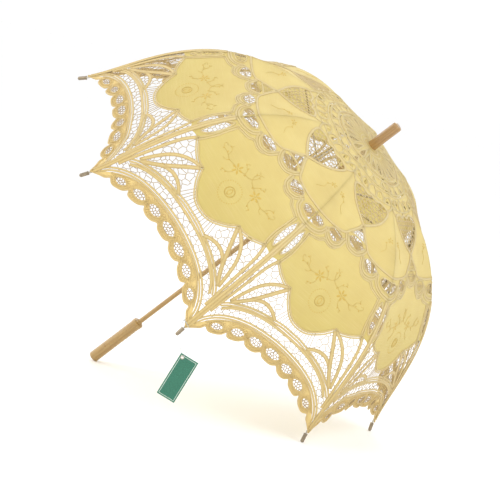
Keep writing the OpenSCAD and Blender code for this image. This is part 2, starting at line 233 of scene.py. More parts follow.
class Drawing:
    """A mesh in drawn coordinates: points (x, s, height), faces, and each point's place
    along and across its own strip for the material."""

    def __init__(self):
        self.points, self.faces, self.marks = [], [], []
        self.count = 0

    def add(self, points, faces, marks):
        self.faces += [tuple(self.count + k for k in f) for f in faces]
        self.points.append(np.array(points, float))
        self.marks.append(np.array(marks, float))
        self.count += len(points)

    def sweep(self, path, section, ends=True):
        """A closed section (across, height) swept along a path."""
        n, m = len(path), len(section)
        side = normals(path)
        run = np.concatenate([[0], np.cumsum(np.hypot(*np.diff(path, axis=0).T))])
        points, marks = [], []
        for p, q, l in zip(path, side, run):
            for a, h in section:
                points.append((p[0] + q[0] * a, p[1] + q[1] * a, h))
                marks.append((l, a))
        faces = [(k * m + j, (k + 1) * m + j, (k + 1) * m + (j + 1) % m, k * m + (j + 1) % m)
                 for k in range(n - 1) for j in range(m)]
        if ends and path[0, 0] > 0.01:
            faces.append(tuple(range(m)))
        if ends and path[-1, 0] > 0.01:
            faces.append(tuple((n - 1) * m + j for j in reversed(range(m))))
        self.add(points, faces, marks)

    def tape(self, points, width, height=0.7, lift=0.0, step=3.0, corner=False):
        """A woven tape with rounded edges and a slightly hollow middle."""
        path = points if isinstance(points, np.ndarray) else smooth(points, step, corner)
        w, e = width / 2, min(0.5, width / 6)
        section = [(-w, 0.05), (-w + e, height), (-w + 2.4 * e, height * 0.5),
                   (w - 2.4 * e, height * 0.5), (w - e, height), (w, 0.05), (0, -0.5)]
        self.sweep(path, [(a, h + lift) for a, h in section])

    def double(self, points, width=3.2, gap=1.0, lift=0.0, step=3.0, corner=False):
        """Two narrow tapes side by side."""
        path = smooth(points, step, corner)
        for side in (-1, 1):
            self.tape(beside(path, side * (width + gap) / 2), width, lift=lift)

    def cord(self, points, r, lift=0.4, step=2.0, sides=5, corner=False):
        path = points if isinstance(points, np.ndarray) else smooth(points, step, corner)
        section = [(r * math.cos(2 * math.pi * k / sides), lift + r * math.sin(2 * math.pi * k / sides))
                   for k in range(sides)][::-1]
        self.sweep(path, section)

    def thread(self, a, b, r=0.42, lift=0.15):
        """One straight thread."""
        a, b = np.array(a, float), np.array(b, float)
        if np.hypot(*(b - a)) < 0.4:
            return
        self.sweep(np.array([a, b]), [(-r, lift - r * 0.6), (0, lift + r), (r, lift - r * 0.6)], False)

    def clipped(self, a, b, outline, r=0.42, lift=0.15):
        """The stretch of a thread that lies inside an outline and on this half."""
        t = np.linspace(0, 1, 25)[:, None]
        p = np.array(a) * (1 - t) + np.array(b) * t
        keep = inside(p, outline) & (p[:, 0] > -0.05)
        if keep.sum() > 2:
            k = np.flatnonzero(keep)
            self.thread(np.maximum(p[k[0]], [0, 0]), np.maximum(p[k[-1]], [0, 0]), r, lift)

    def net(self, outline, cell, jitter=0.22, seed=1, r=0.46):
        """A net of knotted threads: the borders between evenly strewn points."""
        outline = np.array(outline, float)
        lo, hi = outline.min(0) - 2 * cell, outline.max(0) + 2 * cell
        rng = np.random.RandomState(seed)
        seeds = []
        for row in range(int((hi[1] - lo[1]) / (cell * 0.87)) + 2):
            for col in range(int((hi[0] - lo[0]) / cell) + 2):
                seeds.append((lo[0] + (col + 0.5 * (row % 2)) * cell, lo[1] + row * cell * 0.87))
        seeds = np.array(seeds) + rng.uniform(-1, 1, (len(seeds), 2)) * jitter * cell
        out = delaunay_2d_cdt([Vector(p) for p in seeds], [], [], 0, 1e-6)
        at = np.array([tuple(v) for v in out[0]])
        centres, beyond = [], {}
        for f, face in enumerate(out[2]):
            a, b, c = at[list(face)]
            d = 2 * (a[0] * (b[1] - c[1]) + b[0] * (c[1] - a[1]) + c[0] * (a[1] - b[1]))
            d = d if abs(d) > 1e-6 else 1e-6
            sq = (a @ a, b @ b, c @ c)
            centres.append(((sq[0] * (b[1] - c[1]) + sq[1] * (c[1] - a[1]) + sq[2] * (a[1] - b[1])) / d,
                            (sq[0] * (c[0] - b[0]) + sq[1] * (a[0] - c[0]) + sq[2] * (b[0] - a[0])) / d))
            for j, k in ((0, 1), (1, 2), (2, 0)):
                beyond.setdefault(frozenset((face[j], face[k])), []).append(f)
        for pair in beyond.values():
            if len(pair) == 2:
                a, b = np.array(centres[pair[0]]), np.array(centres[pair[1]])
                if np.hypot(*(a - b)) < 2.5 * cell:
                    self.clipped(a, b, outline, r)

    def fill(self, outline, holes=(), grid=6.0):
        """A cloth with holes cut in it."""
        outline = dense(outline)
        holes = [dense(h, 2.0) for h in holes]
        lo, hi = outline.min(0), outline.max(0)
        gx, gy = np.meshgrid(np.arange(lo[0] + grid / 2, hi[0], grid),
                             np.arange(lo[1] + grid / 2, hi[1], grid))
        inner = np.stack([gx.ravel() + (np.round(gy.ravel() / grid) % 2) * grid / 2, gy.ravel()], axis=1)
        inner = inner[inside(inner, outline)]
        for loop in [outline] + holes:
            inner = inner[away(inner, loop) > grid * 0.4]
        for hole in holes:
            inner = inner[~inside(inner, hole)]
        points, edges = [], []
        for loop in [outline] + holes:
            k, n = len(points), len(loop)
            points += [Vector(p) for p in loop]
            edges += [(k + j, k + (j + 1) % n) for j in range(n)]
        points += [Vector(p) for p in inner]
        out = delaunay_2d_cdt(points, edges, [], 0, 1e-4)
        at = np.array([tuple(v) for v in out[0]])
        faces = np.array([f for f in out[2] if len(f) == 3])
        middle = at[faces].mean(1)
        keep = inside(middle, outline) & (middle[:, 0] > 0)
        for hole in holes:
            keep &= ~inside(middle, hole)
        faces = faces[keep]
        used = np.unique(faces)
        renumber = {int(v): k for k, v in enumerate(used)}
        at = at[used]
        at[:, 0] = np.maximum(at[:, 0], 0)
        self.add(np.column_stack([at, np.zeros(len(at))]),
                 [tuple(renumber[int(v)] for v in f) for f in faces], at)

    def petal(self, x, s, angle, length, width, height=0.9):
        """One raised leaf of satin stitch, from its root outwards."""
        ca, sa = math.cos(angle), math.sin(angle)
        ring = [(0.0, 0.0), (0.3, 0.42), (0.62, 0.5), (0.88, 0.3), (1.0, 0.0),
                (0.88, -0.3), (0.62, -0.5), (0.3, -0.42)]
        points = [(x + ca * length * a - sa * width * b, s + sa * length * a + ca * width * b, 0.05)
                  for a, b in ring]
        points += [(x + ca * length * a, s + sa * length * a, height) for a in (0.35, 0.7)]
        faces = [(k, (k + 1) % 8, 8 if k in (0, 1, 6, 7) else 9) for k in range(8)]
        faces += [(2, 9, 8), (6, 8, 9)]
        marks = [(length * a, width * b) for a, b in ring] + [(0, 0)] * 2
        self.add(points, [f[::-1] for f in faces], marks)


# ---------------------------------------------------------------- the lace, half a gore
def ring_line(s, start=0.0, short=0.0):
    """Part of a true circle round the crown, s away from it in the gore's middle."""
    flat = s * math.cos(HALF)
    x = np.linspace(start, flat * math.sin(HALF) - short, max(3, int(s / 8)))
    return np.stack([x, np.sqrt(flat ** 2 - x ** 2) / math.cos(HALF)], axis=1)


def teardrop(x, s0, s1, width):
    """A closed petal outline with its point towards the crown."""
    w = width / 2
    lean = x / s1
    side = [(0.0, 0.0), (0.45, 0.35), (0.9, 0.68), (0.85, 0.88), (0.0, 1.0)]
    loop = [(a * w, b) for a, b in side] + [(-a * w, b) for a, b in side[3:0:-1]]
    return [(lean * (s0 + (s1 - s0) * b) + a, s0 + (s1 - s0) * b) for a, b in loop]


def closed(points, step=2.0):
    """A smooth closed run of points, with its corner at the first one."""
    return smooth(list(points) + [points[0]], step, corner=True)


# windows, from the gore's middle out and back to it
NET_WINDOW = [(0, 135), (10, 140.5), (22, 136), (37, 142.5), (32, 165), (19, 182), (0, 198)]
NET_POINT = [(0, 209), (14, 227), (0, 227)]
WINDOW_TOP = [(0, 230), (10, 231.5), (17.5, 238)]
WINDOW_LOW = [(0, 249.5), (10, 247.5), (17.5, 238)]
SIDE_WINDOW = [(25, 252), (31, 246.5), (41, 245), (51, 247.5), (57, 254), (51, 262), (41, 266),
               (31, 262)]
END_WINDOW = [(70, 258), (76, 252.5), (rib_x(251, 1.2), 251), (rib_x(270, 1.2), 270), (76, 266)]
SCALLOPS = [[(0, 256), (11, 253.5), (20, 243), (22, 236)],
            [(20.5, 248), (27, 266), (41, 272.5), (55, 267), (61, 254)],
            [(60.5, 258), (68, 271), (83, 277.5), (rib_x(278), 278)]]
MEDALLION = [(0, 259), (18, 259.5), (25, 264), (30, 272), (41, 276.5), (55, 274), (62, 280), (72, 283),
             (84, 286), (87, 307), (89, 324), (93.5, 341), (97.5, 352), (90, 357.5), (80, 364), (66, 370),
             (54, 371.5), (49.5, 377), (40.5, 388), (25.5, 400), (13, 405.5), (0, 407)]
SLOT = [(92, 287), (rib_x(298, 4.5), 298), (rib_x(314, 4.8), 314), (rib_x(330, 6), 330),
        (rib_x(342, 9), 342), (97, 334), (92.5, 320), (90, 303)]
LEAF_RIB = [(54, 372), (71, 395), (88.5, 419), (101, 433), (115, 446)]
LEAF_BACK = [(57, 371.5), (70, 376.5), (84, 385.5), (97, 400), (107.5, 421), (116, 445)]
RIB_LEAF = [(99, 351), (107.5, 370), (113.5, 394), (119, 422), (124, 448), (129, 476)]
LOW_LEAF_TOP = [(37, 423), (51, 415), (66, 412), (80, 415.5), (92, 423.5), (104, 436)]
LOW_LEAF_END = [(38, 424), (57, 426), (83, 433), (108, 444)]
ARCH = [(0, 421), (20, 421.3), (38, 424), (57, 427.5), (83, 434.5), (109, 446.5), (124, 458)]
ARCH_LOW = [(0, 428), (30, 429), (57, 432.5), (83, 440), (104, 450), (118, 462)]
HEM = [(0, 446), (30, 447.5), (60, 452), (90, 461), (112, 474), (128, 490), (136, 505)]
HEM_LOW = [(0, 450.5), (30, 452), (60, 456.5), (88, 465), (108, 477.5), (123, 492)]
EDGE = [(0, 477.5), (9, 476.5), (17, 472), (26, 478), (36, 480.5), (45, 479.5), (51.5, 475), (59, 482.5),
        (69, 487), (78, 488), (84.5, 483), (90, 491), (99, 497), (108, 500), (117, 497),
        (122, 504), (128, 508), (rib_x(EAR_END, 2.5), 516), (rib_x(EAR_END), EAR_END)]
EYES = [(0, 463, 13.5, 7.0, 0.0), (35.5, 466, 12.5, 6.6, 0.07), (69.5, 473.5, 12, 6.2, 0.24),
        (103, 487, 9.5, 5.2, 0.42)]
EYELET = 354                 # the embroidered ring in the medallion
RIB_TAPE = [(rib_x(s, 2.0), s) for s in (282, 320, 356, 392, 428, 464, 500, 514)]


def eye(x, s, a, b, turn, n=20):
    """The almond outline of an opening in the hem."""
    out = []
    for k in range(n):
        t = 2 * math.pi * k / n
        u, v = a * math.cos(t), b * math.sin(t) * (0.72 + 0.28 * abs(math.sin(t)))
        out.append((x + u * math.cos(turn) - v * math.sin(turn),
                    s + u * math.sin(turn) + v * math.cos(turn)))
    return out


def half_shape(outline):
    """The part of an outline on this side of the gore's middle."""
    p = np.array(outline, float)
    p = p[p[:, 0] > -0.6]
    p[:, 0] = np.maximum(p[:, 0], 0)
    order = np.argsort(np.arctan2(p[:, 1] - p[:, 1].mean(), p[:, 0] - p[:, 0].mean()))
    return p[order]


def draw_cloth():
    """The plain cloth: everything down to the big medallion that isn't a window."""
    art = Drawing()
    crown = [(0, CROWN_EDGE)] + [(rib_x(s), s) for s in np.linspace(CROWN_EDGE, 356, 90)]
    low = smooth([(rib_x(356), 356), (108, 352), (97.5, 352)], 3, True).tolist()
    outline = crown + low + smooth(MEDALLION[12:], 3, True).tolist()
    holes = [np.array(teardrop(*p)) for p in crown_petals()]
    holes = [half_shape(h) if h[:, 0].min() < 0.5 else h for h in holes]
    holes += [smooth(NET_WINDOW, 3, True), np.array(NET_POINT),
              np.concatenate([smooth(WINDOW_TOP), smooth(WINDOW_LOW)[::-1]]),
              closed(SIDE_WINDOW), np.array(END_WINDOW), closed(SLOT)]
    holes += [band(ring_line(s, 1.8, 1.8), w) for s, w in ((76, 3.0), (100.4, 1.5))]
    holes += [teardrop(x, 107, 124, 7) for x in (18.5, 37)]
    art.fill(outline, holes)
    return art


def crown_petals():
    """Where the rosette's open petals are: in the gore's middle and a third of the way out."""
    third = math.tan(HALF * 2 / 3)
    return [(0.0, 33, 68, 9.0), (66 * third * 0.96, 31, 66, 9.0),
            (0.0, 84, 96, 8.0), (93 * third * 0.96, 81, 93, 8.0)]


def draw_tapes():
    art = Drawing()
    for s, w in ((18, 3.6), (26, 2.6), (71, 3.4), (80.5, 3.2), (97.5, 2.6), (103.6, 2.6), (129, 2.8)):
        art.tape(ring_line(s), w, 0.8, 0.1)
    for x, s0, s1, w in crown_petals():
        loop = closed(teardrop(x, s0 - 1.5, s1 + 1.5, w + 3))
        if abs(x) < 1e-6:
            loop = loop[loop[:, 0] >= -1e-6][:-1]
            loop[0, 0] = 0
            loop[-1, 0] = 0
        art.tape(loop, 2.6, 0.9, 0.15)
    for k in range(3):  # petals over the net window
        x = (0, 18.5, 37)[k]
        arc = [(x - 8.5, 128), (x - 7.5, 115), (x, 107), (x + 7.5, 115), (x + 8.5, 127)]
        arc = [p for p in arc if p[0] >= 0] if k == 0 else arc
        arc = [(min(p[0], rib_x(p[1])), p[1]) for p in arc]
        art.tape(arc, 2.6, 1.2, 0.12)
    art.tape([(0, 133), (10, 138.5), (22, 133.5), (39.5, 141), (34.5, 165), (21.5, 184), (0, 203)],
             4.8, 1.0, 0.2, corner=True)
    art.tape([(39, 139), (44, 130), (rib_x(121), 121)], 3.6, 1.0, 0.2)
    art.tape([(0, 201), (7, 213), (18, 227), (30, 239.5), (57, 243.5), (rib_x(243), 243)], 4.2, 1.0, 0.24)
    art.tape([(0, 207.5), (9, 219), (16.5, 229)], 2.6, 0.8, 0.3, corner=True)
    art.tape([(0, 228.5), (16, 229)], 2.4, 0.8, 0.3)
    art.tape([(0, 249.8), (10, 248.4), (19, 238)], 2.2, 0.9, 0.26)
    art.tape(closed(SIDE_WINDOW), 2.2, 0.9, 0.26)
    art.tape([(rib_x(250), 250), (76, 251.5), (69, 258), (76, 267.5), (rib_x(271), 271)], 2.2, 0.9, 0.26)
    for k, path in enumerate(SCALLOPS):
        art.double(path, 3.3, 0.8, 0.22 + 0.04 * k)
    art.double(MEDALLION[3:9], 2.4, 0.8, 0.3, corner=True)
    art.double(MEDALLION[8:13], 2.6, 1.0, 0.34, corner=True)
    art.double(MEDALLION[12:17], 2.6, 1.2, 0.3, corner=True)
    art.double(list(reversed(MEDALLION[16:])), 2.6, 1.3, 0.36)
    art.tape(closed(SLOT), 2.8, 0.9, 0.3)
    art.tape(RIB_TAPE, 5.4, 0.8, 0.9)
    art.tape(RIB_LEAF, 5.4, 0.9, 0.36)
    art.tape(LEAF_RIB, 6.8, 1.0, 0.5)
    art.tape(LEAF_BACK, 6.0, 1.0, 0.42)
    art.tape(LOW_LEAF_TOP, 6.2, 1.0, 0.34)
    art.tape(LOW_LEAF_END, 3.0, 0.8, 0.2)
    art.double(ARCH, 3.2, 1.0, 0.26)
    art.tape(ARCH_LOW, 4.8, 0.9, 0.2)
    art.double(HEM, 3.2, 1.0, 0.24)
    for x, s in ((54, 371.5), (97.5, 352)):  # knots where the medallion's lobes meet
        art.tape(closed([(x, s - 3.4), (x + 3, s), (x, s + 3.4), (x - 3, s)]), 2.0, 1.2, 0.4)
    return art


def draw_threads():
    art = Drawing()
    art.net(mirrored(NET_WINDOW), 9.0, 0.08, 3, 0.75)
    art.net(mirrored(NET_POINT), 5.6, 0.15, 4, 0.4)
    for x, s0, s1, w in crown_petals():
        art.net(teardrop(x, s0, s1, w), 5.0, 0.2, 5)
    count = 9
    for k in range(count):
        x = rib_x(72) * (k + 0.5) / count
        lean = 1.0 if k % 2 else -1.0
        art.thread((x + lean, 73), (x - lean, 79.5), 0.45)
    for outline, lo, hi, middle in ((mirrored(WINDOW_TOP + WINDOW_LOW[::-1]), -17, 17, 239.5),
                                    (closed(SIDE_WINDOW), 25, 57, 255),
                                    (np.array(END_WINDOW), 70, 90, 261)):
        art.net(outline, 6.4, 0.3, 6 + int(middle))
        for d in (-0.9, 0.9):
            art.clipped((lo - 2, middle + d), (hi + 2, middle - d), outline, 0.5)
    art.net(closed(SLOT), 7.0, 0.28, 6)
    # ladder below the medallion
    upper, lower = smooth(list(reversed(MEDALLION[16:])), 1.0), smooth(ARCH, 1.0)
    for k in range(7):
        x = 3.2 + 6.4 * k
        a = upper[np.argmin(np.abs(upper[:, 0] - x * (1 - 0.006 * x)))]
        b = lower[np.argmin(np.abs(lower[:, 0] - x * 1.03))]
        art.thread(a, b, 0.48)
    art.net([(40, 392), (50, 379), (55, 375), (71, 396), (90, 421), (80, 415), (66, 411.5), (51, 415),
             (42, 420), (43, 408)], 11.5, 0.4, 7)
    art.net([(58, 374), (70, 377), (84, 386), (97, 400), (107, 421), (115, 445), (101, 432),
             (88.5, 418), (71, 395)], 8.2, 0.36, 8)
    art.net([(98, 354), (90, 359), (80, 366), (66, 372), (84, 384), (97, 399), (108, 421), (117, 447),
             (124, 450), (119, 423), (113, 394), (107, 371)], 11.5, 0.4, 9)
    art.net([(101, 352), (rib_x(357, 5), 357), (rib_x(395, 5), 395), (rib_x(430, 5), 430),
             (rib_x(470, 5), 470), (128, 470), (124, 450), (119, 422), (113, 394), (107, 370)],
            7.4, 0.34, 13)
    art.net([(38, 424), (51, 416), (66, 413), (80, 416), (92, 424), (107, 443), (83, 433), (57, 426)],
            7.6, 0.34, 10)
    art.net(mirrored([(0, 429), (30, 430), (57, 433.5), (83, 441), (104, 451), (118, 463),
                      (rib_x(463, 4), 463), (rib_x(500, 4), 500), (128, 489), (112, 473), (90, 460),
                      (60, 451), (30, 446.5), (0, 445)]), 9.6, 0.38, 11)
    for x, s, a, b, turn in EYES:
        art.net(eye(x, s, a, b, turn), 5.0, 0.28, 12 + int(x), 0.6)
    return art


def draw_border():
    """The scalloped hem: a corded band with almond openings."""
    art = Drawing()
    edge = smooth(EDGE, 1.5)
    top = smooth(HEM_LOW, 3.0)
    outline = np.concatenate([top, [(129, 499), (rib_x(509, 3), 509), (rib_x(512), 512)], edge[::-1]])
    holes = []
    for x, s, a, b, turn in EYES:
        hole = np.array(eye(x, s, a, b, turn))
        holes.append(half_shape(hole) if x == 0 else hole)
    art.fill(outline, holes, 5.0)
    flat = Drawing()
    flat.tape(edge, 3.4, 1.1, 0.15, step=1.5)
    flat.tape(beside(top, 0.6), 2.4, 0.9, 0.2)
    for x, s, a, b, turn in EYES:
        loop = closed(eye(x, s, a + 1.0, b + 1.0, turn))
        if x == 0:
            loop = np.array(eye(x, s, a + 1.0, b + 1.0, turn, 40))
            loop = np.concatenate([loop[30:], loop[:11]])
            loop[[0, -1], 0] = 0
        flat.tape(loop, 2.6, 1.1, 0.3)
        for k in range(26):  # the cords that fan out from each opening
            t = 2 * math.pi * k / 26
            u = np.array([math.cos(t + turn), math.sin(t + turn)])
            near = np.array([x, s]) + u * [a + 2, b + 2] * 1.05
            flat.clipped(near, near + u * 6.0, outline, 0.7, 0.3)
    return art, flat


def draw_stitches():
    """The embroidery: an eyelet ring, flowers with curling stems, and a sprig beside each rib."""
    art = Drawing()

    def flower(x, s, size, petals=6, turn=0.3):
        for k in range(petals):
            t = turn + 2 * math.pi * k / petals
            art.petal(x + 1.4 * math.cos(t), s + 1.4 * math.sin(t), t, size, size * 0.42)
        art.petal(x - 1.2, s, 0, 2.4, 2.4, 1.3)

    ring = [(8.2 * math.sin(t), EYELET - 8.2 * math.cos(t)) for t in np.linspace(0, math.pi, 22)]
    art.cord(np.array(ring), 0.65, 0.3)
    for k in range(7):
        t = math.pi * (k + 0.5) / 7
        art.petal(4.0 * math.sin(t), EYELET - 4.0 * math.cos(t), math.pi / 2 - t + math.pi, 2.2, 1.6, 0.8)
    for k in range(15):
        t = math.pi * (k + 0.5) / 15
        art.petal(17.6 * math.sin(t), EYELET - 17.6 * math.cos(t), math.atan2(-math.cos(t), math.sin(t)),
                  2.4, 1.5, 0.8)
    flower(26, 324, 8.5)
    stems = [[(0, 313), (5, 317), (13, 319), (20, 322)],
             [(33, 324.5), (44, 327), (55, 324), (66, 323), (71, 319), (69, 315), (65.5, 317)],
             [(0, 313), (3, 305), (1, 297), (5, 294)],
             [(44, 327), (48, 332), (54, 333)],
             [(52, 325), (55, 316), (60, 313), (59, 309)],
             [(13, 319), (16, 312), (22, 309), (25, 304), (21, 303)],
             [(26, 333), (30, 341), (37, 344), (38, 349)]]
    for stem in stems:
        art.cord(stem, 0.32, 0.2, corner=True)
    for x, s, turn in ((44, 326, 0.9), (56, 324, -1.0), (64, 323, 0.7), (17, 311, -1.2), (23, 308, -0.3),
                       (31, 341, 1.3), (36, 344, 0.1), (2, 303, -0.7), (10, 318.5, 0.9), (59, 313, 0.2)):
        art.petal(x, s, turn, 4.2, 1.9, 0.8)
    # the small sprig beside each rib, higher up
    x0 = rib_x(205, 25)
    art.cord([(x0 + 8, 187), (x0 + 2, 197), (x0 + 4, 208), (x0 - 3, 219)], 0.3, 0.2, corner=True)
    for k in range(5):
        t = 0.5 + 2 * math.pi * k / 5
        art.petal(x0 + 8 + 1.1 * math.cos(t), 187 + 1.1 * math.sin(t), t, 5.0, 2.3)
    for x, s, turn in ((x0 + 3, 195, 2.6), (x0 + 4, 206, 0.4), (x0 + 1, 213, 2.2), (x0 - 3, 219, 1.9)):
        art.petal(x, s, turn, 4.4, 2.0, 0.8)
        return art


# ---------------------------------------------------------------- materials
def screen(r, g, b):
    """A colour given as screen values from 0 to 255, in linear light."""
    return tuple((c / 255 / 12.92 if c / 255 <= 0.04045 else ((c / 255 + 0.055) / 1.055) ** 2.4)
                 for c in (r, g, b)) + (1.0,)


class Shader:
    """A material's nodes, added and linked one at a time."""

    def __init__(self, name):
        self.material = bpy.data.materials.new(name)
        self.material.use_nodes = True
        self.tree = self.material.node_tree
        self.surface = self.tree.nodes["Principled BSDF"]
        self.output = self.tree.nodes["Material Output"]

    def put(self, value, socket):
        if isinstance(value, bpy.types.NodeSocket):
            self.tree.links.new(value, socket)
        else:
            socket.default_value = value

    def node(self, kind, inputs=(), out=0, **settings):
        n = self.tree.nodes.new("ShaderNode" + kind)
        for key, value in settings.items():
            setattr(n, key, value)
        for key, value in dict(inputs).items():
            self.put(value, n.inputs[key])
        return n.outputs[out]

    def noise(self, vector, scale, detail=3.0, rough=0.5):
        return self.node("TexNoise", {"Vector": vector, "Scale": scale, "Detail": detail,
                                      "Roughness": rough})

    def math(self, operation, a, b=0.0, clamp=False):
        return self.node("Math", {0: a, 1: b}, operation=operation, use_clamp=clamp)

    def ramp(self, value, low, high):
        return self.node("MapRange", {"Value": value, "From Min": low, "From Max": high}, clamp=True)

    def blend(self, share, a, b):
        n = self.tree.nodes.new("ShaderNodeMix")
        n.data_type = "RGBA"
        for value, k in ((share, 0), (a, 6), (b, 7)):
            self.put(value, n.inputs[k])
        return n.outputs[2]

    def bump(self, height, distance, strength=1.0):
        normal = self.node("Bump", {"Height": height, "Distance": distance, "Strength": strength})
        self.put(normal, self.surface.inputs["Normal"])
        return normal

    def set(self, **inputs):
        for key, value in inputs.items():
            self.put(value, self.surface.inputs[key.replace("_", " ")])

    def let_light_through(self, colour, normal, share):
        """Mixes in a translucent shader, for cloth lit from behind."""
        through = self.node("BsdfTranslucent", {"Color": colour, "Normal": normal})
        mix = self.node("MixShader", {0: share, 1: self.surface.outputs[0], 2: through})
        self.put(mix, self.output.inputs["Surface"])


CREAM = screen(234, 216, 148)
CREAM_DEEP = screen(192, 177, 94)
GOLD = screen(226, 198, 128)
GOLD_PALE = screen(240, 224, 168)
RIM_GOLD = screen(234, 204, 134)


def below_crown(shader):
    """How far a point lies from the crown towards the rim, from 0 to 1."""
    place = shader.node("TexCoord", out=3)
    depth = shader.node("VectorMath", {0: place, 1: tuple(SHAFT)}, out=1, operation="DOT_PRODUCT")
    top = CROWN.dot(SHAFT)
    return place, shader.ramp(depth, top, top - DOME_DROP * MM)


def cloth_material():
    """Plain fine cotton: two sets of crossing threads, with thicker ones here and there."""
    s = Shader("lace_cloth")
    place, depth = below_crown(s)
    marks = s.node("UVMap", uv_map="drawn")
    u = s.node("TexWave", {"Vector": marks, "Scale": 0.42, "Distortion": 1.2, "Detail": 2.0,
                           "Detail Scale": 1.5}, out=1, bands_direction="X")
    v = s.node("TexWave", {"Vector": marks, "Scale": 0.42, "Distortion": 1.2, "Detail": 2.0,
                           "Detail Scale": 1.5}, out=1, bands_direction="Y")
    weave = s.math("ADD", u, v)
    stretched = s.node("Mapping", {"Vector": marks, "Scale": (0.02, 0.9, 1.0)})
    slub = s.ramp(s.noise(stretched, 1.0, 2.0), 0.52, 0.75)
    patches = s.noise(place, 24.0, 4.0)
    base = s.blend(depth, CREAM, CREAM_DEEP)
    base = s.blend(s.math("MULTIPLY", s.ramp(patches, 0.35, 0.7), 0.35), base, screen(206, 182, 116))
    base = s.blend(s.math("MULTIPLY", slub, 0.25), base, screen(236, 222, 170))
    base = s.blend(s.math("MULTIPLY", s.ramp(weave, 0.0, 2.0), 0.14), base, screen(186, 160, 98))
    height = s.math("ADD", s.math("MULTIPLY", weave, 0.5), s.math("MULTIPLY", slub, 0.6))
    normal = s.bump(height, 0.00025, 0.55)
    s.set(Base_Color=base, Roughness=0.85, Sheen_Weight=0.25, Sheen_Roughness=0.5)
    s.let_light_through(base, normal, 0.46)
    return s.material


def tape_material(name, pale, deep, rib=0.45):
    """Woven tape: ribs across it, darker edges and patches of deeper colour."""
    s = Shader(name)
    place, depth = below_crown(s)
    marks = s.node("UVMap", uv_map="drawn")
    xyz = s.tree.nodes.new("ShaderNodeSeparateXYZ")
    s.put(marks, xyz.inputs[0])
    across = s.math("ABSOLUTE", xyz.outputs[1])
    ribs = s.node("TexWave", {"Vector": marks, "Scale": rib, "Distortion": 0.8, "Detail": 1.0}, out=1,
                  bands_direction="X")
    spots = s.noise(marks, 1.6, 2.0)
    base = s.blend(depth, pale, deep)
    base = s.blend(s.math("MULTIPLY", s.ramp(across, 0.5, 1.8), 0.45), base, screen(200, 164, 98))
    base = s.blend(s.math("MULTIPLY", ribs, 0.22), base, screen(238, 222, 174))
    base = s.blend(s.math("MULTIPLY", s.ramp(s.noise(place, 60.0, 3.0), 0.4, 0.7), 0.25), base, deep)
    normal = s.bump(s.math("ADD", ribs, s.math("MULTIPLY", spots, 0.7)), 0.0003, 0.7)
    s.set(Base_Color=base, Roughness=0.72, Sheen_Weight=0.3, Sheen_Roughness=0.4)
    s.let_light_through(base, normal, 0.18)
    return s.material


def thread_material(name, pale, deep, gloss=0.6, twist=0.9):
    """Plied thread: a fine twist along it."""
    s = Shader(name)
    place, depth = below_crown(s)
    marks = s.node("UVMap", uv_map="drawn")
    twisted = s.node("TexWave", {"Vector": marks, "Scale": twist, "Distortion": 0.4}, out=1,
                     bands_direction="DIAGONAL")
    base = s.blend(depth, pale, deep)
    base = s.blend(s.math("MULTIPLY", twisted, 0.3), base, screen(170, 132, 72))
    normal = s.bump(twisted, 0.0002, 0.6)
    s.set(Base_Color=base, Roughness=gloss, Sheen_Weight=0.2)
    s.let_light_through(base, normal, 0.1)
    return s.material


def along_shaft(shader, stretch):
    """Coordinates that run along the shaft, squeezed so that grain follows it."""
    place = shader.node("TexCoord", out=3)
    turn = Matrix(AXES.tolist()).to_euler()
    turned = shader.node("Mapping", {"Vector": place, "Rotation": tuple(turn)})
    return shader.node("Mapping", {"Vector": turned, "Scale": (1.0, 1.0, stretch)})


def wood_material(name, pale, deep, dark, gloss, coat):
    """Turned wood: long grain, darker pores and darker patches."""
    s = Shader(name)
    grain = along_shaft(s, 0.06)
    rings = s.node("TexWave", {"Vector": grain, "Scale": 60.0, "Distortion": 6.0, "Detail": 3.0,
                               "Detail Scale": 2.0}, out=1, bands_direction="X")
    streaks = s.noise(grain, 700.0, 4.0, 0.6)
    pores = s.ramp(s.noise(along_shaft(s, 0.03), 1600.0, 2.0), 0.62, 0.72)
    base = s.blend(s.math("MULTIPLY", rings, 0.55), pale, deep)
    base = s.blend(s.ramp(streaks, 0.45, 0.8), base, deep)
    base = s.blend(s.math("MULTIPLY", pores, 0.55), base, dark)
    base = s.blend(s.math("MULTIPLY", s.ramp(s.noise(grain, 30.0, 2.0), 0.5, 0.75), 0.3), base, dark)
    s.bump(s.math("SUBTRACT", streaks, pores), 0.00012, 0.5)
    s.set(Base_Color=base, Roughness=gloss, Coat_Weight=coat, Coat_Roughness=0.12)
    return s.material


def steel_material(name, bright, tarnished, metal):
    """Plated wire and stampings: fine scratches and a little dull tarnish."""
    s = Shader(name)
    place = s.node("TexCoord", out=3)
    fine = s.noise(place, 900.0, 3.0, 0.6)
    dull = s.ramp(s.noise(place, 120.0, 3.0), 0.45, 0.72)
    base = s.blend(s.math("MULTIPLY", dull, 0.6), bright, tarnished)
    rough = s.math("ADD", s.math("MULTIPLY", fine, 0.25), s.math("MULTIPLY", dull, 0.2))
    s.bump(fine, 0.00005, 0.4)
    s.set(Base_Color=base, Metallic=metal, Roughness=rough)
    return s.material


TAG_TURN, TAG_SWING = math.radians(24), math.radians(-18.4)
TAG_HANG = (0.0905, -0.341, 0.104)
TAG_HOLE = (-0.010, 0.030)
TAG_SIZE = (0.030, 0.070)


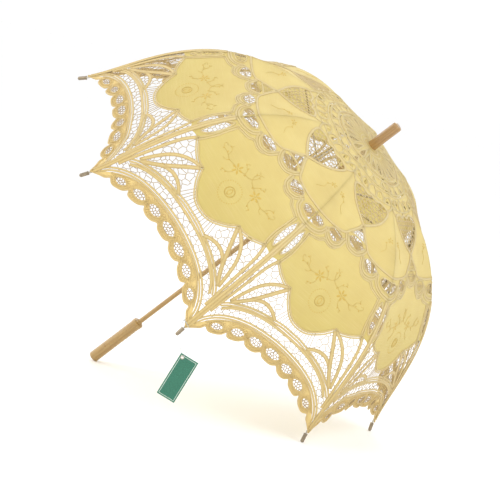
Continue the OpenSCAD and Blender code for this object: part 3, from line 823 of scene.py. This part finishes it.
def card_material():
    """Printed card: plain green with a thin pale line round it and rubbed edges."""
    s = Shader("tag_card")
    place = s.node("TexCoord", out=3)
    tag = (Matrix.Translation(TAG_HANG) @ Matrix.Rotation(TAG_TURN, 4, "Z")
           @ Matrix.Rotation(math.pi / 2, 4, "X") @ Matrix.Rotation(TAG_SWING, 4, "Z")
           @ Matrix.Translation((-TAG_HOLE[0], -TAG_HOLE[1], 0)))
    local = s.node("Mapping", {"Vector": place, "Location": tuple(tag.translation),
                               "Rotation": tuple(tag.to_euler())}, vector_type="TEXTURE")
    xyz = s.tree.nodes.new("ShaderNodeSeparateXYZ")
    s.put(local, xyz.inputs[0])
    gaps = [s.math("SUBTRACT", half, s.math("ABSOLUTE", xyz.outputs[k]))
            for k, half in ((0, TAG_SIZE[0] / 2), (1, TAG_SIZE[1] / 2))]
    edge = s.math("MINIMUM", *gaps)
    line = s.math("LESS_THAN", s.math("ABSOLUTE", s.math("SUBTRACT", edge, 0.0024)), 0.0003)
    fibres = s.noise(place, 900.0, 4.0)
    base = s.blend(s.ramp(fibres, 0.3, 0.75), screen(24, 92, 70), screen(44, 122, 96))
    base = s.blend(line, base, screen(214, 226, 214))
    worn = s.math("MULTIPLY", s.math("SUBTRACT", 1.0, s.ramp(edge, 0.0, 0.0006)), s.ramp(fibres, 0.4, 0.6))
    base = s.blend(worn, base, screen(150, 180, 164))
    s.bump(fibres, 0.00006, 0.5)
    s.set(Base_Color=base, Roughness=0.42, Coat_Weight=0.25, Coat_Roughness=0.25)
    return s.material


def filament_material():
    """Clear nylon line, a little hazy."""
    s = Shader("clear_line")
    place = s.node("TexCoord", out=3)
    haze = s.noise(place, 1200.0, 2.0)
    base = s.blend(s.ramp(haze, 0.3, 0.7), screen(222, 226, 228), screen(198, 204, 208))
    s.set(Base_Color=base, Roughness=0.25, Transmission_Weight=0.35, IOR=1.5)
    return s.material


CLOTH = cloth_material()
TAPE = tape_material("lace_tape", GOLD_PALE, GOLD)
BORDER = tape_material("lace_border", screen(236, 214, 148), RIM_GOLD, 0.5)
HEM_CLOTH = tape_material("lace_hem", screen(242, 222, 158), screen(242, 218, 144), 0.3)
THREAD = thread_material("net_thread", screen(228, 208, 158), screen(176, 144, 90), 0.75)
STITCH = thread_material("silk_stitch", screen(224, 196, 100), screen(204, 170, 62), 0.5, 1.4)
PALE_WOOD = wood_material("pale_wood", screen(178, 148, 94), screen(160, 126, 74), screen(108, 76, 40),
                          0.38, 0.35)
TAN_WOOD = wood_material("tan_wood", screen(174, 138, 80), screen(154, 114, 60), screen(100, 68, 32),
                         0.26, 0.6)
STEEL = steel_material("plated_steel", screen(196, 190, 176), screen(140, 126, 104), 0.75)
CAP_STEEL = steel_material("cap_steel", screen(150, 136, 114), screen(96, 82, 62), 0.5)
CARD = card_material()
LINE = filament_material()

NODE_FINISH = {"pale_wood": PALE_WOOD, "tan_wood": TAN_WOOD, "steel": STEEL, "lace": CLOTH,
               "tag_card": CARD, "clear_filament": LINE}
for part in frame["record"]["subparts"]:
    node = frame["nodes"][part["node"]]
    finish = CAP_STEEL if part["node"].startswith("tip_cap") else NODE_FINISH[part["material_slot"]]
    if not node.material_slots:
        node.data.materials.append(finish)
    for place in node.material_slots:
        place.material = finish


def panel_piece(name, art, i, material):
    """One drawing laid on both sides of rib i, as one object."""
    points, marks = np.concatenate(art.points), np.concatenate(art.marks)
    n = len(points)
    verts = np.concatenate([on_canopy(points, 1, i), on_canopy(points, -1, i)])
    faces = art.faces + [tuple(n + k for k in reversed(f)) for f in art.faces]
    mesh = bpy.data.meshes.new(name)
    mesh.from_pydata(verts.tolist(), [], faces)
    mesh.validate()
    corner = np.zeros(len(mesh.loops), int)
    mesh.loops.foreach_get("vertex_index", corner)
    layer = mesh.uv_layers.new(name="drawn")
    layer.data.foreach_set("uv", np.concatenate([marks, marks])[corner].ravel())
    mesh.polygons.foreach_set("use_smooth", [True] * len(mesh.polygons))
    mesh.materials.append(material)
    piece = bpy.data.objects.new(name, mesh)
    bpy.context.collection.objects.link(piece)
    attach(piece, "rib_%d" % i)
    return piece


def add_canopy():
    hem_cloth, hem_cords = draw_border()
    drawings = (("cloth", draw_cloth(), CLOTH), ("hem", hem_cloth, HEM_CLOTH),
                ("hem_cord", hem_cords, BORDER), ("tape", draw_tapes(), TAPE),
                ("net", draw_threads(), THREAD), ("stitch", draw_stitches(), STITCH))
    for i in range(1, RIBS + 1):
        pieces = [panel_piece("%s_%d" % (name, i), art, i, material) for name, art, material in drawings]
        for piece in pieces:
            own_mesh(piece)
        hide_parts("canopy_panel_%d" % i)


add_canopy()

# ---------------------------------------------------------------- the tag's loop
LOOP_ROUTE = [(82, -345, 158.5), (88.5, -347, 154.5), (95.5, -347, 146), (99.5, -346.5, 134),
              (99.5, -346, 122), (95.5, -344.5, 110), (90.5, -341, 105), (85.5, -338, 110),
              (79.5, -336, 122), (76.5, -336, 134), (76.5, -337.5, 146), (77.5, -340.5, 155),
              (81, -344, 158.5)]
LOOP_WIDTH = 0.8


def loop_points():
    """The same smooth line through the route's points as the loop's own solid."""
    p = [np.array(q, float) for q in LOOP_ROUTE]
    p = [p[0]] + p + [p[-1]]
    out = []
    for a, b, c, d in zip(p, p[1:], p[2:], p[3:]):
        for t in (0, 0.25, 0.5, 0.75):
            out.append(0.5 * (2 * b + (c - a) * t + (2 * a - 5 * b + 4 * c - d) * t ** 2
                              + (3 * b - a - 3 * c + d) * t ** 3))
    return np.array(out + [p[-1]]) * MM


def add_loop():
    points = loop_points()
    curve = bpy.data.curves.new("loop_line", "CURVE")
    curve.dimensions = "3D"
    curve.bevel_depth = LOOP_WIDTH * MM / 2
    curve.bevel_resolution = 3
    curve.use_fill_caps = True
    line = curve.splines.new("POLY")
    line.points.add(len(points) - 1)
    for q, p in zip(line.points, points):
        q.co = (*p, 1.0)
    curve.materials.append(LINE)
    piece = bpy.data.objects.new("loop_line", curve)
    bpy.context.collection.objects.link(piece)
    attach(piece, "rib_7")
    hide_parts("tag_loop")


add_loop()

# ---------------------------------------------------------------- the studio
def add_floor():
    mesh = bpy.data.meshes.new("floor")
    mesh.from_pydata([(-30, -30, 0), (30, -30, 0), (30, 30, 0), (-30, 30, 0)], [], [(0, 1, 2, 3)])
    s = Shader("studio_floor")
    place = s.node("TexCoord", out=3)
    pale = s.blend(s.noise(place, 3.0), (0.93, 0.93, 0.93, 1), (0.95, 0.95, 0.95, 1))
    s.set(Base_Color=pale, Roughness=0.7, Emission_Color=(1, 1, 1, 1), Emission_Strength=0.04)
    mesh.materials.append(s.material)
    floor = bpy.data.objects.new("floor", mesh)
    bpy.context.collection.objects.link(floor)


def add_light(name, place, size, watts, colour=(1, 1, 1)):
    lamp = bpy.data.lights.new(name, "AREA")
    lamp.shape = "DISK"
    lamp.size = size
    lamp.energy = watts
    lamp.color = colour
    holder = bpy.data.objects.new(name, lamp)
    holder.location = place
    holder.rotation_euler = (Vector((0, 0, 0.28)) - Vector(place)).to_track_quat("-Z", "Y").to_euler()
    bpy.context.collection.objects.link(holder)


def add_studio():
    add_floor()
    world = bpy.data.worlds.new("studio")
    world.use_nodes = True
    sky = world.node_tree.nodes["Background"]
    sky.inputs["Color"].default_value = (1, 1, 1, 1)
    sky.inputs["Strength"].default_value = 1.02
    bpy.context.scene.world = world
    add_light("key", (-1.4, -2.6, 2.6), 1.8, 27, (1.0, 0.985, 0.96))
    add_light("fill", (2.6, -1.4, 2.0), 2.0, 27)
    add_light("back", (-0.4, 2.6, 2.4), 1.6, 18)
    inward = CROWN - 2.2 * Vector(SHAFT)
    add_light("open_side", (inward.x, inward.y, 0.8), 1.2, 5)
    bpy.context.scene.view_settings.view_transform = "Standard"


add_studio()
